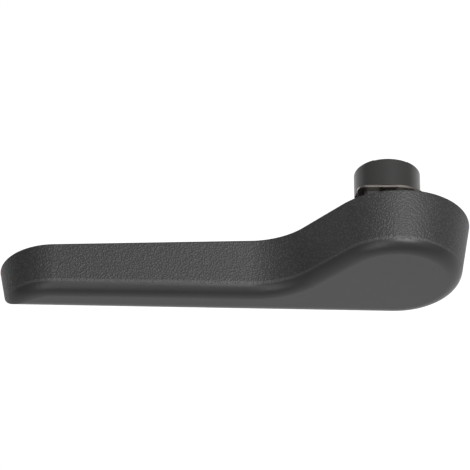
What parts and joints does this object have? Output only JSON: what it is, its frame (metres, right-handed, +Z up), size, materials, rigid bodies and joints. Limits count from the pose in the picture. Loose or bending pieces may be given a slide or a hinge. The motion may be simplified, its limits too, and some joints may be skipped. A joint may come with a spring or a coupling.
{
  "type": "car seat recliner lever",
  "caption": "Seat recliner lever with a long grip, a round head and a collar that slides on a shaft and is held by a spring clip.",
  "frame": {"origin": "centre of the collar's mouth, on the axis of the shaft that the lever slides on", "axes": "+Y along the shaft's axis, away from the user and towards the seat; the grip points to -X; +Z up"},
  "size_m": [0.1693, 0.0449, 0.0532],
  "materials": {
    "moulding": "charcoal, leather-grained edge wall, satin outer face, smooth collar",
    "clip_steel": "plain spring steel"
  },
  "bodies": {
    "root": {"lever_handle": "moulding", "retaining_clip": "clip_steel"}
  },
  "joints": []
}
